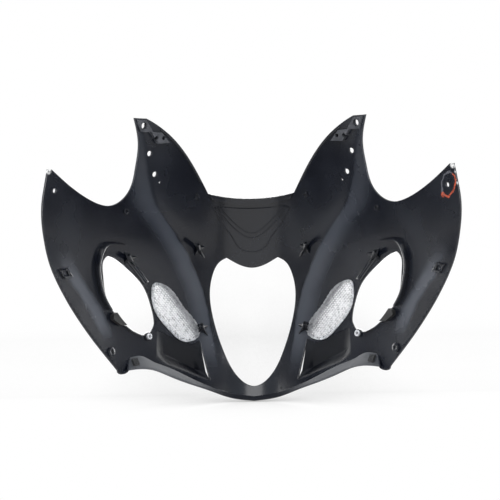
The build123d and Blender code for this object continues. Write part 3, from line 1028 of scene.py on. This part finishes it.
slotPlan = {"place": (283, -31), "turn": 70, "seat": (15, 9), "slot": (8, 3.4), "height": 2.6, "root": 1.0,
            "pitch": 3.0, "bevel": 0.6}


def slotCorners(size):
    cos = math.cos(math.radians(slotPlan["turn"]))
    sin = math.sin(math.radians(slotPlan["turn"]))
    out = []
    for i, j in ((-1, -1), (1, -1), (1, 1), (-1, 1)):
        a = i * size[0] / 2
        b = j * size[1] / 2
        out.append(Vector(slotPlan["place"]) + Vector((a * cos - b * sin, a * sin + b * cos)))
    return out


def slotSeat():
    s = slotPlan
    outline = slotCorners(s["seat"])
    slot = slotCorners(s["slot"])
    return skinPiece("slotSeat", outline, [[slot]], s["root"], -s["height"], s["pitch"], s["bevel"])


keepBoth(slotSeat(), "slotSeat", finish["polishedEdge"])
for name, values in bossPlan["places"].items():
    keepBoth(bossPiece(name, *values), name, shellMat)
print("posts and bosses made")


# wire mesh in the intakes

meshPlan = {"long": 7.6, "short": 3.8, "cells": 44, "turn": 28, "reach": 75, "strand": 0.72, "thick": 1.3,
            "off": 0.45, "hem": 3.0, "hemThick": 0.9, "hemLap": 0.8, "hemBack": 0.1, "hemPitch": 4.0,
            "middle": (137, -108), "across": (-0.864, 0.504), "twist": 1.3, "twistFrom": -3, "twistOver": 12,
            "crimp": 4.2, "crimpWide": 2.0, "crimpHigh": 2.3, "crimpLong": 1.05, "crimpSunk": 0.4,
            "hemBevel": 0.4}


def centreOf(outline):
    return sum((Vector(q) for q in outline), Vector((0, 0))) / len(outline)


def diamondNet(outline):  # strands of one diamond net, cut to the outline and laid on the skin
    p = meshPlan
    centre = centreOf(outline)
    deselect()
    bpy.ops.mesh.primitive_grid_add(x_subdivisions=p["cells"], y_subdivisions=p["cells"], size=1)
    net = bpy.context.object
    cos = math.cos(math.radians(p["turn"]))
    sin = math.sin(math.radians(p["turn"]))
    for v in net.data.vertices:
        a = (v.co.x - v.co.y) * p["cells"] * p["long"] / 2
        b = (v.co.x + v.co.y) * p["cells"] * p["short"] / 2
        v.co = (centre.x + a * cos - b * sin, centre.y + a * sin + b * cos, 0)
    chooseFaces(net, lambda face: (face.center.xy - centre).length > p["reach"])
    bpy.ops.mesh.delete(type="FACE")
    bpy.ops.mesh.select_all(action="SELECT")
    extrude((0, 0, 1))
    turnOutwards()
    cutWith(net, cutter(grown(outline, p["hemLap"] - p["hem"])), "INTERSECT")
    chooseFaces(net, lambda face: face.normal.z < 0.5)  # one layer of cut cells stays
    bpy.ops.mesh.delete(type="FACE")
    bpy.ops.mesh.select_all(action="SELECT")
    bpy.ops.mesh.inset(thickness=p["strand"], use_individual=True, use_boundary=True, use_even_offset=True)
    bpy.ops.mesh.delete(type="FACE")
    bpy.ops.mesh.select_all(action="SELECT")
    bpy.ops.transform.translate(value=(0, 0, -1))
    extrude((0, 0, 1))
    deselect()
    for v in net.data.vertices:  # the twisted strands close the gaps towards the nose
        if v.co.z > 0.5:
            side = (v.co.xy - Vector(p["middle"])).dot(Vector(p["across"]))
            slip = p["twist"] * rise(p["twistFrom"], p["twistOver"], side)
            v.co.x -= sin * slip
            v.co.y += cos * slip
    layOnSkin(net, -p["off"], -p["off"] - p["thick"])
    return net


def hemBand(outline):
    p = meshPlan
    band = flatSlab("hem", boxRound(outline, 1), p["hemPitch"])
    cutWith(band, cutter(grown(outline, -p["hemBack"])), "INTERSECT")
    cutWith(band, cutter(grown(outline, -p["hem"])), "DIFFERENCE")
    layOnSkin(band, -p["off"], -p["off"] - p["hemThick"])
    return finishMesh(band, bevel=p["hemBevel"])


def crimpMark(place, inward):  # one fold of the crimped hem, set across it
    p = meshPlan
    along = Vector((-inward.y, inward.x))
    bpy.ops.mesh.primitive_cube_add(size=1)
    mark = bpy.context.object
    for v in mark.data.vertices:
        at = place + along * v.co.x * p["crimpWide"] + inward * (p["hem"] * (0.5 + v.co.y * p["crimpLong"]))
        v.co = onSkin(at.x, at.y, -p["off"] - p["crimpSunk"] - (v.co.z + 0.5) * p["crimpHigh"])
    return mark


def crimpMarks(outline):
    edge = grown(outline, -meshPlan["hemBack"])
    centre = centreOf(outline)
    marks = []
    gone = 0.0
    for i in range(len(edge)):
        gone += (edge[i] - edge[i - 1]).length
        if gone >= meshPlan["crimp"]:
            gone -= meshPlan["crimp"]
            way = (edge[(i + 1) % len(edge)] - edge[i - 1]).normalized()
            inward = Vector((way.y, -way.x))
            if inward.dot(centre - edge[i]) < 0:
                inward = -inward
            marks.append(crimpMark(edge[i], inward))
    return marks


def intakeMesh(name):
    outline = closedLine(shellPlan["mesh"])
    net = diamondNet(outline)
    obj = joined([net, hemBand(outline)] + crimpMarks(outline), name)
    return finishMesh(obj, angle=35)


wire = keep(intakeMesh("intakeMeshRight"), wireMat)
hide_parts("intake_mesh_right")
twin = keep(onBothSides(wire, "intakeMeshLeft"), wireMat)
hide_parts("intake_mesh_left")
print("wire mesh made", len(wire.data.polygons))


# small fitted parts kept from the solids, with their own finish

fittedLooks = {"arm_bracket": "greyBracket", "lamp_collar": "brightSteel", "lamp_pad": "dullRubber",
               "flange_pad": "openFoam"}
for obj in bpy.data.objects:
    for start, look in fittedLooks.items():
        if obj.type == "MESH" and obj.name.startswith(start):
            for slotItem in obj.material_slots:
                slotItem.material = finish[look]


# floor, light and camera

studio = {"floorTop": -0.279, "wallY": 0.13, "sweep": 0.10, "width": 8.0, "near": -4.0, "high": 5.0,
          "flatRows": 6, "bendRows": 12, "lens": 56.88, "sensor": 36, "distance": 1.5, "roll": 0.9,
          "shift": -0.004}


def sweptBackdrop():  # pale floor that runs up into a wall in one curve
    s = studio
    bend = s["wallY"] - s["sweep"]
    flat = bend - s["near"]
    profile = [(s["near"] + flat * k / s["flatRows"], s["floorTop"]) for k in range(s["flatRows"] + 1)]
    for k in range(1, s["bendRows"] + 1):
        turn = math.pi / 2 * k / s["bendRows"]
        y = bend + s["sweep"] * math.sin(turn)
        profile.append((y, s["floorTop"] + s["sweep"] * (1 - math.cos(turn))))
    profile.append((s["wallY"], s["high"]))
    deselect()
    bpy.ops.mesh.primitive_grid_add(x_subdivisions=1, y_subdivisions=len(profile) - 1, size=1)
    obj = bpy.context.object
    obj.name = "studioBackdrop"
    for v in obj.data.vertices:
        k = round((v.co.y + 0.5) * (len(profile) - 1))
        v.co = (v.co.x * s["width"], *profile[k])
    bpy.ops.object.shade_smooth()
    deselect()
    return obj


backdropLook = {"colour": (0.86, 0.86, 0.86, 1), "rough": 0.9, "shadeReach": 0.26, "shade": (0.15, 0.80),
                "darkest": 0.35, "samples": 16}
white = (1, 1, 1, 1)


def blended(tree, share, first, second):  # the first shader where the share is 0, the second where it is 1
    mix = added(tree, "MixShader", {0: share, 1: first, 2: second})
    return mix.outputs["Shader"]


def backdropSurface():
    look = backdropLook
    mat = bpy.data.materials.new("paleBackdrop")
    mat.use_nodes = True
    tree = mat.node_tree
    pale = tree.nodes["Principled BSDF"]
    fed(tree, pale, {"Base Color": look["colour"], "Roughness": look["rough"]})
    nearby = added(tree, "AmbientOcclusion", {"Distance": look["shadeReach"]})
    nearby.samples = look["samples"]
    fade = ramped(tree, nearby.outputs["AO"], *look["shade"])  # the object's soft shade on the white
    fade.node.inputs["To Min"].default_value = look["darkest"]
    glow = added(tree, "Emission", {"Color": white, "Strength": fade})
    rays = tree.nodes.new("ShaderNodeLightPath").outputs
    direct = calc(tree, "MAXIMUM", rays["Is Camera Ray"], rays["Is Glossy Ray"])
    wall = blended(tree, direct, pale.outputs["BSDF"], glow.outputs["Emission"])
    behind = tree.nodes.new("ShaderNodeNewGeometry").outputs["Backfacing"]
    clear = tree.nodes.new("ShaderNodeBsdfTransparent").outputs["BSDF"]
    surroundings = blended(tree, behind, wall, clear)  # seen from behind, the wall is not there
    fed(tree, tree.nodes["Material Output"], {"Surface": surroundings})
    return mat


floor = sweptBackdrop()
floor.data.materials.append(backdropSurface())

skyLook = {"low": (0.40, (0.16, 0.17, 0.20, 1)), "high": (0.95, (0.84, 0.91, 1.0, 1))}


def studioSky():  # a grey-blue sky that lights the piece, while the camera sees white
    world = bpy.data.worlds.new("studioWorld")
    world.use_nodes = True
    tree = world.node_tree
    coords = tree.nodes.new("ShaderNodeTexCoord")
    height = parted(tree, coords.outputs["Generated"]).outputs["Z"]
    ramp = tree.nodes.new("ShaderNodeValToRGB")
    for element, (place, colour) in zip(ramp.color_ramp.elements, (skyLook["low"], skyLook["high"])):
        element.position = place
        element.color = colour
    tree.links.new(plus(tree, times(tree, height, 0.5), 0.5), ramp.inputs["Fac"])
    sky = fed(tree, tree.nodes["Background"], {"Color": ramp.outputs["Color"]})
    plain = added(tree, "Background", {"Color": white})
    seen = tree.nodes.new("ShaderNodeLightPath").outputs["Is Camera Ray"]
    whole = blended(tree, seen, sky.outputs["Background"], plain.outputs["Background"])
    fed(tree, tree.nodes["World Output"], {"Surface": whole})
    return world


bpy.context.scene.world = studioSky()

lampPlan = {
    "softTop": {"place": (0, -1.75, 0.95), "size": (1.3, 0.6), "power": 10, "aim": (0, -0.1, -0.1)},
    "stripLeft": {"place": (-1.45, -1.1, 0.35), "size": (0.22, 1.4), "power": 8, "aim": (0, -0.1, 0)},
    "stripRight": {"place": (1.5, -1.05, 0.45), "size": (0.2, 1.2), "power": 6, "aim": (0, -0.1, 0)},
    "backGlow": {"place": (0, 0.115, -0.04), "size": (0.8, 0.42), "power": 5.5, "aim": (0, -1, -0.04)},
}
for name, lamp in lampPlan.items():
    bpy.ops.object.light_add(type="AREA", location=lamp["place"])
    light = bpy.context.object
    light.name = name
    light.data.shape = "RECTANGLE"
    light.data.size, light.data.size_y = lamp["size"]
    light.data.energy = lamp["power"]
    light.visible_camera = False
    aim = Vector(lamp["aim"]) - Vector(lamp["place"])
    light.rotation_euler = aim.to_track_quat("-Z", "Y").to_euler()

looking = (math.radians(90), math.radians(studio["roll"]), 0)
bpy.ops.object.camera_add(location=(0, -studio["distance"], 0), rotation=looking)
camera = bpy.context.object
camera.data.sensor_width = studio["sensor"]
camera.data.lens = studio["lens"]
camera.data.shift_x = studio["shift"]
bpy.context.scene.camera = camera
bpy.context.scene.view_settings.view_transform = "Standard"
print("studio made")

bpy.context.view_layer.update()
